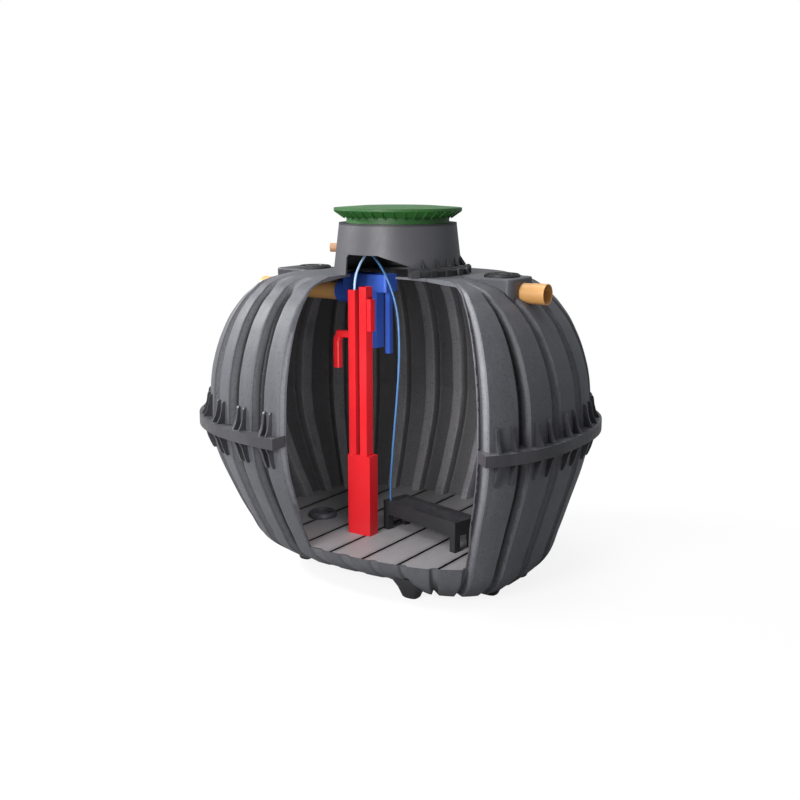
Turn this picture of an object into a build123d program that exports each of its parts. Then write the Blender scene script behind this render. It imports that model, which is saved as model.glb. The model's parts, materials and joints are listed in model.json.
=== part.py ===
"""Packaged sewage treatment plant: a ribbed two-part buried tank, cut open at the front right.

Frame: origin on the ground under the neck, +X along the tank towards the outlet pipe,
-Y the side that is cut open, +Z up. Millimetres. The feet stand on z = 0.

The feature that takes the most skill is the corrugated shell with its gussets, cut open
by upright planes while its floor stays whole.
"""
import os
from math import atan, cos, degrees, hypot, pi, radians, sin, sqrt, tan

from build123d import *

os.makedirs("parts", exist_ok=True)

# Tank
tank_length = 2280
tank_width = 1904
seam_height = 876
crown_height = 1700
shell_bottom = 90
wall = 12
plan_power = 2.52
fit = 0.3

# Flange around the seam
flange_reach = 58
flange_thickness = 30

# Ribs: each a wide crest and a narrow groove, spread wider round the ends than along the sides
rib_count = 28
rib_depth = 58
crest_share = 0.50
slope_share = 0.08
end_spread = 0.14

# Gussets on the flange
gusset_height = 106
gusset_reach = 46
gusset_thick = 18
gusset_thin = 9

# Floor and feet
floor_height = 240
floor_thickness = 26
board_pitch = 208
groove_width = 13
groove_depth = 9
feet_places = ((385, 440, 150, 110), (705, 165, 170, 100), (-470, 280, 110, 90))

# Cut-away: left side, corner and back edge of the cut in the crown, and the rib that it ends on
cut_x = -135
crown_cut_x = 350
crown_cut_y = -255
crown_cut_reach = 420
cut_rib = 26

# Neck, collar and shaft
neck_radius = 328
neck_foot_radius = 360
neck_top = 1965
neck_wall = 12
neck_hole_radius = 300
collar_radius = 404
collar_height = 46
lug_count = 26
shaft_radius = 286
shaft_wall = 9
shaft_sink = 120
rim_radius = 356
rim_top = 2056
rim_height = 46
web_count = 36
cover_rise = 14
window_left = -112
window_top = 1812
window_flat = 95
window_shoulder = (188, 1782)
window_right = 268
stub_radius = 25
stub_angle = 205
stub_height = 1832

# Pipes and the pads they pass through
pipe_radius = 55
pipe_wall = 4
grip_step = 2
outlet_height = 1628
outlet_end = 935
outlet_spigot = 85
inlet_height = 1571
inlet_end = 985
inlet_spigot = 90
inner_pipe_end = -352
outlet_inner_end = 660
pad_inner = 470
pad_outer = 793
pad_width = 250
pad_wall = 12
disc_radius = 96
disc_thickness = 12

# Inlet box with its two drop pipes: left, right, half width, lower end
inlet_box = (-345, -40, 62)
box_bottom = 1585
box_top = 1682
socket_radius = 64
drop_wide = (-210, -120, 35, 1260)
drop_narrow = (-76, -46, 15, 1232)

# Airlift for clear water
lift_x = -52
lift_y = -290
lift_top = 1640
lift_joint = 700
lift_tube = 46
lift_gap = 28
lift_depth = 60
lift_wall = 4
hook_drop = 1180
hook_top = 1372

# Diffuser, turned in plan
diffuser_x = 310
diffuser_y = -146
diffuser_turn = -14
diffuser_length = 580
diffuser_width = 170
diffuser_bottom = 330
diffuser_top = 410
diffuser_rail = 40


def save(part, name):
    """Label a finished piece and write it as a STEP file."""
    part.label = name
    export_step(part, f"parts/{name}.step")
    print(f"{name}: {len(part.solids())} solids, volume {part.volume / 1e6:.3f} dm3")


def box_between(x0, x1, y0, y1, z0, z1):
    """Box from one corner to the other."""
    block = Box(x1 - x0, y1 - y0, z1 - z0, mode=Mode.PRIVATE)
    return Pos((x0 + x1) / 2, (y0 + y1) / 2, (z0 + z1) / 2) * block


def upright(radius, z0, z1, x=0, y=0):
    """Upright round bar from one height to another."""
    return Pos(x, y, (z0 + z1) / 2) * Cylinder(radius, z1 - z0, mode=Mode.PRIVATE)


def lying(radius, x0, x1, z):
    """Round bar along X."""
    bar = Cylinder(radius, x1 - x0, rotation=(0, 90, 0), mode=Mode.PRIVATE)
    return Pos((x0 + x1) / 2, 0, z) * bar


# Plan outline of the wall: a superellipse walked by arc length from +X round
wall_a = tank_length / 2 - flange_reach
wall_b = tank_width / 2 - flange_reach


def plan_point(angle):
    """Point and outward normal of the plan outline at a parameter angle."""
    c, s = cos(angle), sin(angle)
    x = wall_a * abs(c) ** (2 / plan_power) * (1 if c >= 0 else -1)
    y = wall_b * abs(s) ** (2 / plan_power) * (1 if s >= 0 else -1)
    nx = abs(x / wall_a) ** (plan_power - 1) / wall_a * (1 if x >= 0 else -1)
    ny = abs(y / wall_b) ** (plan_power - 1) / wall_b * (1 if y >= 0 else -1)
    size = hypot(nx, ny)
    return x, y, nx / size, ny / size


samples = 2880
track = [plan_point(2 * pi * i / samples) for i in range(samples + 1)]
run = [0]
for here, there in zip(track, track[1:]):
    run.append(run[-1] + hypot(there[0] - here[0], there[1] - here[1]))


def station(fraction):
    """Point and normal at a fraction of the outline's length."""
    target = (fraction % 1) * run[-1]
    low, high = 0, samples
    while high - low > 1:
        middle = (low + high) // 2
        if run[middle] <= target:
            low = middle
        else:
            high = middle
    share = (target - run[low]) / (run[high] - run[low])
    return tuple(a + share * (b - a) for a, b in zip(track[low], track[high]))


groove_share = 1 - crest_share - 2 * slope_share
# Turns of the wall within one rib, from one groove to the next, and how deep each lies
turns = (
    (groove_share / 2, 1),
    (groove_share / 2 + slope_share, 0),
    (groove_share / 2 + slope_share + crest_share, 0),
    (1 - groove_share / 2, 1),
)


def rib_station(place):
    """Point and normal at a place counted in ribs, with rib 0 in the middle of the right end."""
    share = (place - 0.5) / rib_count
    return station(share + end_spread * sin(4 * pi * share) / (4 * pi))


# Levels of the shells: share of the height, how far the wall has drawn in, rib depth share
upper_levels = (
    (0.00, 0, 1.0),
    (0.40, 27, 1.0),
    (0.60, 73, 1.0),
    (0.76, 135, 0.95),
    (0.88, 215, 0.60),
    (0.97, 330, 0.0),
    (1.00, 430, 0.0),
)
lower_levels = (
    (0.00, 0, 1.0),
    (0.22, 28, 1.0),
    (0.45, 95, 1.0),
    (0.72, 195, 1.0),
    (0.90, 285, 1.0),
    (1.00, 400, 0.7),
)
upper_rise = crown_height - seam_height
lower_rise = shell_bottom - seam_height
# Further draw of the left and the right end
upper_end_draw = (0.45, 0.30)
lower_end_draw = (0.20, -0.25)


def thickness_in_plan(levels, rise, i):
    """Wall thickness measured level, larger where the wall leans over."""
    first = levels[max(i - 1, 0)]
    last = levels[min(i + 1, len(levels) - 1)]
    lean = (last[1] - first[1]) / abs((last[0] - first[0]) * rise)
    return wall * sqrt(1 + min(lean, 3) ** 2)


def drawn_point(place, deep, drawn_in, rib_share, end_draw, inset):
    """Corner of the wall at one place round it and one level."""
    x, y, nx, ny = rib_station(place)
    further = end_draw[0 if nx < 0 else 1] * abs(nx) ** 2.5
    inward = drawn_in * (1 + further) + deep * rib_depth * rib_share + inset
    return x - nx * inward, y - ny * inward


def ring_points(ribs, *level):
    """Corner points of the given ribs at one level."""
    return [drawn_point(rib + share, deep, *level) for rib in ribs for share, deep in turns]


def piece_points(first_rib, last_rib, *level):
    """Corner points between the middles of two grooves."""
    points = ring_points(range(first_rib, last_rib), *level)
    for rib, spot in ((first_rib, 0), (last_rib, len(points) + 1)):
        a = drawn_point(rib - 1 + turns[-1][0], 1, *level)
        b = drawn_point(rib + turns[0][0], 1, *level)
        points.insert(spot, ((a[0] + b[0]) / 2, (a[1] + b[1]) / 2))
    return points


def loft_rings(rings):
    """Straight-sided solid through closed rings of points, each with its height."""
    with BuildPart(mode=Mode.PRIVATE) as body:
        for z, points in rings:
            with BuildSketch(Plane.XY.offset(z)):
                with BuildLine():
                    Polyline(points, close=True)
                make_face()
        loft(ruled=True)
    return body.part


def wall_piece(levels, rise, end_draw, first_rib, last_rib):
    """Ribbed piece of a shell's wall between two grooves."""
    rings = []
    for i, (share, drawn_in, rib_share) in enumerate(levels[:-1]):
        inset = thickness_in_plan(levels, rise, i)
        outer = piece_points(first_rib, last_rib, drawn_in, rib_share, end_draw, 0)
        inner = piece_points(first_rib, last_rib, drawn_in, rib_share, end_draw, inset)
        rings.append((seam_height + share * rise, outer + inner[::-1]))
    return loft_rings(rings)


def cap_body(levels, rise, end_draw, inner):
    """Solid body of the crown or the bottom, outside or inside of its wall."""
    rings = []
    last = len(levels) - 1
    for i in (last - 1, last):
        inset = thickness_in_plan(levels, rise, i) if inner else 0
        z = seam_height + levels[i][0] * rise
        if inner and i == last:
            z -= wall * (1 if rise > 0 else -1)
        rings.append((z, ring_points(range(rib_count), *levels[i][1:], end_draw, inset)))
    return loft_rings(rings)


far = 3000
cut_end_x, cut_end_y, cut_nx, cut_ny = rib_station(cut_rib)
with BuildPart(mode=Mode.PRIVATE) as cutaway:
    with BuildSketch(Plane.XY.offset(floor_height)):
        with BuildLine():
            Polyline(
                (cut_x, -far),
                (cut_x, crown_cut_y),
                (crown_cut_x, crown_cut_y),
                (cut_end_x - cut_nx * crown_cut_reach, cut_end_y - cut_ny * crown_cut_reach),
                (cut_end_x + cut_nx * tank_width, cut_end_y + cut_ny * tank_width),
                (cut_end_x + cut_nx * tank_width, -far),
                close=True,
            )
        make_face()
    extrude(amount=far)
front_cut = box_between(cut_x, far, -far, 0, floor_height, far)
bores = {
    "left": lying(pipe_radius - grip_step + fit, -far, 0, inlet_height),
    "right": lying(pipe_radius - grip_step + fit, 0, far, outlet_height),
}

# Walls of the two shells, in pieces that meet in the middle of a groove
quarter = rib_count // 4
half_end = quarter // 2 + 1
spans = {
    "right": (cut_rib - rib_count, half_end),
    "back_right": (half_end, quarter),
    "back_left": (quarter, quarter + half_end),
    "left": (quarter + half_end, 2 * quarter + half_end),
    "front": (2 * quarter + half_end, 3 * quarter),
}
for side, (first, last) in spans.items():
    with BuildPart() as upper:
        add(wall_piece(upper_levels, upper_rise, upper_end_draw, first, last))
        if side == "front":
            add(front_cut, mode=Mode.SUBTRACT)
        if side in bores:
            add(bores[side], mode=Mode.SUBTRACT)
    save(upper.part, f"upper_wall_{side}")
    with BuildPart() as lower:
        add(wall_piece(lower_levels, lower_rise, lower_end_draw, first, last))
        if side == "front":
            add(front_cut, mode=Mode.SUBTRACT)
    save(lower.part, f"lower_wall_{side}")

# Low wall that stays under the open front
with BuildPart() as sill:
    add(wall_piece(lower_levels, lower_rise, lower_end_draw, 3 * quarter, cut_rib))
    add(front_cut, mode=Mode.SUBTRACT)
save(sill.part, "lower_wall_sill")

# Crown with its neck hole
with BuildPart() as crown:
    add(cap_body(upper_levels, upper_rise, upper_end_draw, False))
    add(cap_body(upper_levels, upper_rise, upper_end_draw, True), mode=Mode.SUBTRACT)
    add(upright(neck_hole_radius, seam_height, far), mode=Mode.SUBTRACT)
    add(cutaway.part, mode=Mode.SUBTRACT)
save(crown.part, "crown")

# Bottom, and the feet under it
with BuildPart() as bottom:
    add(cap_body(lower_levels, lower_rise, lower_end_draw, False))
    add(cap_body(lower_levels, lower_rise, lower_end_draw, True), mode=Mode.SUBTRACT)
save(bottom.part, "bottom")

with BuildPart() as feet:
    for x, y, length, width in feet_places:
        with BuildSketch(Plane.XY):
            with Locations((x, y), (x, -y)):
                RectangleRounded(length, width, 20)
        extrude(amount=shell_bottom, taper=-6)
save(feet.part, "feet")

# Floor: a plate whose edge follows the wall, with grooves across the tank
def floor_ring(z):
    """Outline of the floor at one height, just inside the wall."""
    share = (z - seam_height) / lower_rise
    i = next(i for i, item in enumerate(lower_levels) if item[0] >= share)
    above, below = lower_levels[i - 1], lower_levels[i]
    mix = (share - above[0]) / (below[0] - above[0])
    insets = [thickness_in_plan(lower_levels, lower_rise, k) for k in (i - 1, i)]
    drawn_in, rib_share, inset = (
        a + mix * (b - a) for a, b in zip((*above[1:], insets[0]), (*below[1:], insets[1]))
    )
    return z, ring_points(range(rib_count), drawn_in, rib_share, lower_end_draw, inset + fit)


with BuildPart() as floor:
    add(loft_rings([floor_ring(floor_height - floor_thickness), floor_ring(floor_height)]))
    with BuildSketch(Plane.XY.offset(floor_height)):
        with GridLocations(board_pitch, 0, 9, 1):
            Rectangle(groove_width, tank_width)
    extrude(amount=-groove_depth, mode=Mode.SUBTRACT)
save(floor.part, "floor")

# Rims of the flange
rim_samples = 120


def rim(z0):
    """Flat ring round the wall, cut open with it."""
    with BuildPart() as ring:
        with BuildSketch(Plane.XY.offset(z0)):
            with BuildLine():
                Polyline(
                    [
                        (x + nx * flange_reach, y + ny * flange_reach)
                        for x, y, nx, ny in (station(i / rim_samples) for i in range(rim_samples))
                    ],
                    close=True,
                )
            make_face()
            with BuildLine():
                Polyline(ring_points(range(rib_count), 0, 1, (0, 0), -fit), close=True)
            make_face(mode=Mode.SUBTRACT)
        extrude(amount=flange_thickness)
        add(cutaway.part, mode=Mode.SUBTRACT)
    return ring.part


save(rim(seam_height), "rim_upper")
save(rim(seam_height - flange_thickness), "rim_lower")


# Gussets: a thick and a thin one on every rib, side by side on the long sides, apart on the ends
def gussets(direction):
    """Three-cornered plates between the flange and the wall."""
    foot = seam_height + direction * flange_thickness
    crest = turns[1][0]
    with BuildPart() as plates:
        for rib in range(rib_count):
            for beside, thickness in ((0, gusset_thick), (1, gusset_thin)):
                end_side = abs(rib_station(rib + 0.5)[2])
                place = rib + crest + 0.06 + beside * (crest_share - 0.12) * (0.55 + 0.45 * end_side)
                x, y, nx, ny = rib_station(place)
                if x > cut_x - 20 and 3 * quarter - 1 < place < cut_rib + 0.1:
                    continue
                side = Plane(origin=(x, y, foot), x_dir=(nx, ny, 0), z_dir=(ny, -nx, 0))
                with BuildSketch(side):
                    with BuildLine():
                        Polyline(
                            (fit, fit * direction),
                            (gusset_reach, fit * direction),
                            (gusset_reach, 10 * direction),
                            (fit, gusset_height * direction),
                            close=True,
                        )
                    make_face()
                extrude(amount=thickness / 2, both=True)
    return plates.part


save(gussets(1), "gussets_upper")
save(gussets(-1), "gussets_lower")

# Pads on the shoulders, hollow, with a flat blanking disc on each
shoulder = loft_rings(
    [
        (seam_height + share * upper_rise, ring_points(range(rib_count), *rest, upper_end_draw, 0))
        for share, *rest in upper_levels[2:]
    ]
)
pads = {"left": (-1, 1695, 592, inlet_height), "right": (1, 1708, 665, outlet_height)}
for name, (side, pad_top, disc_centre, height) in pads.items():
    with BuildPart() as pad:
        with BuildSketch(Plane.XY.offset(height - 160)):
            with Locations((side * (pad_inner + pad_outer) / 2, 0)):
                RectangleRounded(pad_outer - pad_inner, pad_width, 40)
        extrude(amount=pad_top - height + 160)
        fillet(pad.faces().sort_by(Axis.Z)[-1].edges(), 10)
        offset(amount=-pad_wall, openings=pad.faces().sort_by(Axis.Z)[0])
        add(bores[name], mode=Mode.SUBTRACT)
        add(shoulder, mode=Mode.SUBTRACT)
    save(Part() + pad.solids().sort_by(SortBy.VOLUME)[-1], f"pad_{name}")
    with BuildPart() as disc:
        with BuildSketch(Plane.XY.offset(pad_top)):
            with Locations((side * disc_centre, 0)):
                Circle(disc_radius)
        extrude(amount=disc_thickness)
        chamfer(disc.faces().sort_by(Axis.Z)[-1].edges(), 3)
    save(disc.part, f"disc_{name}")


# Pipes: the free spigot has the full size, the stretch held by the tank is a shade slimmer
def pipe(inner_end, outer_end, spigot, height):
    """Level pipe along the tank, turned about its own axis."""
    side = 1 if outer_end > inner_end else -1
    step = outer_end - side * spigot
    with BuildPart() as tube:
        with BuildSketch(Plane.XZ):
            with BuildLine():
                Polyline(
                    (inner_end, height + pipe_radius - pipe_wall),
                    (inner_end, height + pipe_radius - grip_step),
                    (step, height + pipe_radius - grip_step),
                    (step, height + pipe_radius),
                    (outer_end, height + pipe_radius),
                    (outer_end, height + pipe_radius - pipe_wall),
                    close=True,
                )
            make_face()
        revolve(axis=Axis((0, 0, height), (1, 0, 0)))
    return tube.part


save(pipe(inner_pipe_end, -inlet_end, inlet_spigot, inlet_height), "inlet_pipe")
save(pipe(outlet_inner_end, outlet_end, outlet_spigot, outlet_height), "outlet_pipe")

# Neck, wider at its foot, with its cut window and the hole for the conduit stub
stub_share = (neck_top - stub_height) / (neck_top - crown_height)
stub_reach = neck_radius + (neck_foot_radius - neck_radius) * stub_share
stub_way = Vector(cos(radians(stub_angle)), sin(radians(stub_angle)), 0)
stub_plane = Plane(origin=stub_way * stub_reach + Vector(0, 0, stub_height), z_dir=stub_way)
with BuildPart(mode=Mode.PRIVATE) as window:
    with BuildSketch(Plane.XZ):
        with BuildLine():
            Polyline(
                (window_left, crown_height - 1),
                (window_left, window_top - 14),
                (window_left + 14, window_top),
                (window_flat, window_top),
                window_shoulder,
                (window_right, crown_height + collar_height),
                (window_right, crown_height - 1),
                close=True,
            )
        make_face()
    extrude(amount=far)
with BuildPart() as neck:
    with BuildSketch(Plane.XZ):
        with BuildLine():
            Polyline(
                (neck_foot_radius, crown_height),
                (neck_radius, neck_top),
                (neck_radius - neck_wall, neck_top),
                (neck_foot_radius - neck_wall, crown_height),
                close=True,
            )
        make_face()
    revolve(axis=Axis.Z)
    add(window.part, mode=Mode.SUBTRACT)
    with BuildSketch(stub_plane.offset(-40)):
        Circle(stub_radius)
    extrude(amount=80, mode=Mode.SUBTRACT)
save(neck.part, "neck")

# Lugged collar round the right half of the neck's foot
lean = (neck_foot_radius - neck_radius) / (neck_top - crown_height)
with BuildPart() as collar:
    with BuildSketch(Plane.XY.offset(crown_height)):
        Circle(collar_radius)
    extrude(amount=collar_height, taper=14)
    with BuildSketch(Plane.XY.offset(crown_height)):
        with PolarLocations(collar_radius - 6, lug_count):
            Rectangle(34, 36)
    extrude(amount=collar_height * 0.8)
    with BuildSketch(Plane.XY.offset(crown_height)):
        Circle(neck_foot_radius + fit)
    extrude(amount=far, taper=degrees(atan(lean)), mode=Mode.SUBTRACT)
    add(window.part, mode=Mode.SUBTRACT)
    add(box_between(-far, -30, -far, far, crown_height - 1, far), mode=Mode.SUBTRACT)
save(collar.part, "collar")

with BuildPart() as stub:
    with BuildSketch(stub_plane.offset(-30)):
        Circle(stub_radius - fit)
        Circle(stub_radius - 4, mode=Mode.SUBTRACT)
    extrude(amount=70)
save(stub.part, "conduit_stub")
with BuildPart() as plug:
    with BuildSketch(stub_plane.offset(-30)):
        Circle(stub_radius - 4 - fit)
    extrude(amount=12)
save(plug.part, "hose_plug")

# Shaft, its flared rim, the webs under it, and the cover
rim_base = rim_top - rim_height
with BuildPart() as shaft:
    with BuildSketch(Plane.XY.offset(neck_top - shaft_sink)):
        Circle(shaft_radius)
        Circle(shaft_radius - shaft_wall, mode=Mode.SUBTRACT)
    extrude(amount=rim_base - neck_top + shaft_sink)
save(shaft.part, "shaft")

with BuildPart() as guide:
    with BuildSketch(Plane.XY.offset(neck_top)):
        Circle(neck_radius)
        Circle(shaft_radius + fit, mode=Mode.SUBTRACT)
    extrude(amount=10)
save(guide.part, "shaft_seal")

with BuildPart() as flare:
    with BuildSketch(Plane.XZ):
        with BuildLine():
            Polyline(
                (shaft_radius - shaft_wall, rim_base),
                (shaft_radius + 14, rim_base),
                (rim_radius, rim_top - 12),
                (rim_radius, rim_top),
                (rim_radius - 9, rim_top),
                (rim_radius - 9, rim_top - 8),
                (rim_radius - 26, rim_top - 8),
                (shaft_radius + 8, rim_base + 9),
                (shaft_radius - shaft_wall, rim_base + 9),
                close=True,
            )
        make_face()
    revolve(axis=Axis.Z)
save(flare.part, "shaft_rim")

with BuildPart() as webs:
    for i in range(web_count):
        angle = 2 * pi * i / web_count
        side = Plane(origin=(0, 0, 0), x_dir=(cos(angle), sin(angle), 0), z_dir=(sin(angle), -cos(angle), 0))
        with BuildSketch(side):
            with BuildLine():
                Polyline(
                    (shaft_radius + 14, rim_base - fit),
                    (rim_radius, rim_top - 12 - fit),
                    (rim_radius - 2, rim_top - 20),
                    (shaft_radius + 14, rim_base - 12),
                    close=True,
                )
            make_face()
        extrude(amount=2, both=True)
save(webs.part, "rim_webs")

cover_radius = rim_radius - 9 - 2
with BuildPart() as cover:
    with BuildSketch(Plane.XZ):
        with BuildLine():
            Polyline(
                (0, rim_top - 8 + fit),
                (cover_radius, rim_top - 8 + fit),
                (cover_radius, rim_top + 1),
                (cover_radius * 0.6, rim_top + cover_rise * 0.75),
                (0, rim_top + cover_rise),
                close=True,
            )
        make_face()
    revolve(axis=Axis.Z)
save(cover.part, "cover")

# Inlet box with a socket for the pipe, open at the top
x0, x1, half = inlet_box
with BuildPart() as inlet:
    with BuildSketch(Plane.XY.offset(box_bottom)):
        with Locations(((x0 + x1) / 2, 0)):
            RectangleRounded(x1 - x0, 2 * half, 14)
    extrude(amount=box_top - box_bottom)
    add(lying(socket_radius, x0 - 55, x0 + 45, inlet_height))
    with BuildSketch(Plane.XY.offset(box_bottom + 5)):
        with Locations(((x0 + x1) / 2, 0)):
            RectangleRounded(x1 - x0 - 10, 2 * half - 10, 9)
    extrude(amount=far, mode=Mode.SUBTRACT)
    add(lying(pipe_radius - grip_step + fit, x0 - 56, inner_pipe_end + 1, inlet_height), mode=Mode.SUBTRACT)
    add(lying(pipe_radius - pipe_wall, x0 - 56, x0 + 40, inlet_height), mode=Mode.SUBTRACT)
    for left, right, depth, low in (drop_wide, drop_narrow):
        with BuildSketch(Plane.XY.offset(box_bottom - 1)):
            with Locations(((left + right) / 2, 0)):
                Rectangle(right - left - 10, 2 * depth - 10)
        extrude(amount=10, mode=Mode.SUBTRACT)
save(inlet.part, "inlet_box")

for name, (left, right, depth, low) in (("drop_pipe_wide", drop_wide), ("drop_pipe_narrow", drop_narrow)):
    with BuildPart() as tube:
        with BuildSketch(Plane.XY.offset(low)):
            with Locations(((left + right) / 2, 0)):
                Rectangle(right - left, 2 * depth)
                Rectangle(right - left - 10, 2 * depth - 10, mode=Mode.SUBTRACT)
        extrude(amount=box_bottom - low)
    save(tube.part, name)

# Airlift: a pair of square tubes into one wide tube, with a hook and a clip
half_pair = lift_gap / 2 + lift_tube
tube_offset = (lift_gap + lift_tube) / 2
for name, side in (("airlift_tube_left", -1), ("airlift_tube_right", 1)):
    tube_top = lift_top - (20 if side < 0 else 0)
    with BuildPart() as tube:
        with BuildSketch(Plane.XY.offset(lift_joint)):
            with Locations((lift_x + side * tube_offset, lift_y)):
                Rectangle(lift_tube, lift_depth)
        extrude(amount=tube_top - lift_joint)
        with BuildSketch(Plane.XY.offset(lift_joint)):
            with Locations((lift_x + side * tube_offset, lift_y)):
                Rectangle(lift_tube - 2 * lift_wall, lift_depth - 2 * lift_wall)
        extrude(amount=tube_top - lift_joint - (lift_wall if side < 0 else 0), mode=Mode.SUBTRACT)
    save(tube.part, name)

foot_x = lift_x + 10
foot_length = 2 * half_pair + 30
foot_width = lift_depth + 16
with BuildPart() as lower_tube:
    with BuildSketch(Plane.XY.offset(floor_height)):
        with Locations((foot_x, lift_y)):
            Rectangle(foot_length, foot_width)
    extrude(amount=lift_joint - floor_height)
    with BuildSketch(Plane.XY.offset(floor_height)):
        with Locations((foot_x, lift_y)):
            Rectangle(foot_length - 8, foot_width - 8)
    extrude(amount=lift_joint - floor_height - 6, mode=Mode.SUBTRACT)
    with BuildSketch(Plane.XY.offset(lift_joint - 7)):
        with Locations((lift_x - tube_offset, lift_y), (lift_x + tube_offset, lift_y)):
            Rectangle(lift_tube - 2 * lift_wall, lift_depth - 2 * lift_wall)
    extrude(amount=8, mode=Mode.SUBTRACT)
save(lower_tube.part, "airlift_foot")

hook_x = lift_x - half_pair - 96
with BuildPart() as hook:
    with BuildLine() as bend:
        Polyline(
            (hook_x, lift_y, hook_drop),
            (hook_x, lift_y, hook_top - 40),
            (hook_x + 18, lift_y, hook_top),
            (lift_x - half_pair - fit, lift_y, hook_top),
        )
    with BuildSketch(Plane(origin=bend.line @ 0, z_dir=(0, 0, 1))):
        RectangleRounded(40, 44, 10)
        RectangleRounded(32, 36, 6, mode=Mode.SUBTRACT)
    sweep(path=bend.line, transition=Transition.RIGHT)
save(hook.part, "airlift_hook")

with BuildPart() as clip:
    with BuildSketch(Plane.XY.offset(1400)):
        with Locations((lift_x + half_pair + fit + 12, lift_y)):
            Rectangle(24, 40)
    extrude(amount=175)
save(clip.part, "airlift_clip")

# Diffuser: a frame on four legs with a membrane plate in it
diffuser_way = Vector(1, 0, 0).rotate(Axis.Z, diffuser_turn)
diffuser_plane = Plane(origin=(diffuser_x, diffuser_y, 0), x_dir=diffuser_way, z_dir=(0, 0, 1))
inner_length = diffuser_length - 2 * diffuser_rail
inner_width = diffuser_width - 2 * diffuser_rail
with BuildPart() as frame:
    with BuildSketch(diffuser_plane.offset(diffuser_bottom)):
        Rectangle(diffuser_length, diffuser_width)
        Rectangle(inner_length, inner_width, mode=Mode.SUBTRACT)
    extrude(amount=diffuser_top - diffuser_bottom)
    with BuildSketch(diffuser_plane.offset(floor_height)):
        with GridLocations(diffuser_length - diffuser_rail, diffuser_width - diffuser_rail, 2, 2):
            Rectangle(diffuser_rail, diffuser_rail)
    extrude(amount=diffuser_bottom - floor_height)
save(frame.part, "diffuser_frame")
with BuildPart() as plate:
    with BuildSketch(diffuser_plane.offset(diffuser_top - 30)):
        Rectangle(inner_length - 2 * fit, inner_width - 2 * fit)
    extrude(amount=24)
save(plate.part, "diffuser_plate")

# Hoses: both start on the plug in the conduit stub
hose_radius = 6.5
inward = stub_way * -1
across = Vector(-inward.Y, inward.X, 0)
plug_face = stub_plane.offset(-30).origin
air_start = plug_face + across * 9
lift_start = plug_face - across * 9
hose_foot = Vector(diffuser_rail * 0.78 - diffuser_length / 2, -diffuser_width / 2 + 26, 0)
hose_down = diffuser_plane.offset(diffuser_top).from_local_coords(hose_foot)
air_route = [
    air_start,
    air_start + inward * 110,
    Vector(-85, -135, 1805),
    Vector(25, -190, 1738),
    Vector(98, -205, 1628),
    Vector(138, -205, 1500),
    Vector(149, -205, 1350),
    Vector(146, -205, 1200),
    Vector(133, -203, 1050),
    Vector(116, -198, 900),
    Vector(96, -190, 750),
    Vector(72, -172, 600),
    hose_down + Vector(0, 0, 90),
    hose_down,
]
lift_end = Vector(lift_x - tube_offset, lift_y, lift_top - 20)
lift_route = [
    lift_start,
    lift_start + inward * 110,
    Vector(-100, -150, 1815),
    Vector(-84, -240, 1765),
    lift_end + Vector(0, 0, 65),
    lift_end,
]


def hose(route, name):
    """Round hose along straight runs joined by arcs."""
    radii = []
    for before, corner, after in zip(route, route[1:], route[2:]):
        first = corner - before
        second = after - corner
        half_turn = radians(first.get_angle(second)) / 2
        radii.append(0.45 * min(first.length, second.length) / tan(half_turn))
    print(name, "turn radii", [round(r) for r in radii])
    with BuildLine() as run_line:
        FilletPolyline(*route, radius=radii)
    path = run_line.wire()
    with BuildPart() as tube:
        with BuildSketch(Plane(origin=route[0], z_dir=path % 0)):
            Circle(hose_radius)
        sweep(path=path)
    share = tube.part.volume / (pi * hose_radius**2 * path.length)
    print(f"{name}: length {path.length:.0f}, volume over section x length {share:.3f}")
    save(tube.part, name)


hose(air_route, "air_hose")
hose(lift_route, "airlift_hose")
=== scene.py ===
import json
import math

import bmesh
import bpy
import numpy as np
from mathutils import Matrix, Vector


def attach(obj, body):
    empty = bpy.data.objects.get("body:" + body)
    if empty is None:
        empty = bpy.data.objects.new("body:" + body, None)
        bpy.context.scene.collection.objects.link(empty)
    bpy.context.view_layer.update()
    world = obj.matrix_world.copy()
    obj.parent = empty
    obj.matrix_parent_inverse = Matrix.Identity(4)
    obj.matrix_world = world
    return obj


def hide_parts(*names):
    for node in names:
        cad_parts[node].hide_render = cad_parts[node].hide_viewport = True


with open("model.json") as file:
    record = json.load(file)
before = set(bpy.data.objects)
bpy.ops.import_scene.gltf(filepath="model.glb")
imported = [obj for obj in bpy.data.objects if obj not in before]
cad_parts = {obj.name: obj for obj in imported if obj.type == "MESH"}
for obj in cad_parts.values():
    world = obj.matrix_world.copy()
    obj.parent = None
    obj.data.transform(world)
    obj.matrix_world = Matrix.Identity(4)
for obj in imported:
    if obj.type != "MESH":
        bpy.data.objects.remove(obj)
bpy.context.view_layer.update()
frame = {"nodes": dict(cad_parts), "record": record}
scene = bpy.context.scene
print("frame loaded", len(frame["nodes"]), "pieces")


# a socket that takes part in plain expressions
class Wire:
    def __init__(self, paint, socket):
        self.paint, self.socket = paint, socket

    def maths(self, operation, *values):
        return self.paint.node("Math", dict(operation=operation), dict(enumerate(values)))

    def __add__(self, other): return self.maths("ADD", self, other)
    def __radd__(self, other): return self.maths("ADD", other, self)
    def __sub__(self, other): return self.maths("SUBTRACT", self, other)
    def __rsub__(self, other): return self.maths("SUBTRACT", other, self)
    def __mul__(self, other): return self.maths("MULTIPLY", self, other)
    def __rmul__(self, other): return self.maths("MULTIPLY", other, self)
    def __truediv__(self, other): return self.maths("DIVIDE", self, other)
    def __rtruediv__(self, other): return self.maths("DIVIDE", other, self)
    def __abs__(self): return self.maths("ABSOLUTE", self)
    def fract(self): return self.maths("FRACT", self)
    def clamp(self): return self.maths("MINIMUM", self.maths("MAXIMUM", self, 0.0), 1.0)
    def above(self, edge, soft): return ((self - edge) / soft).clamp()


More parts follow.
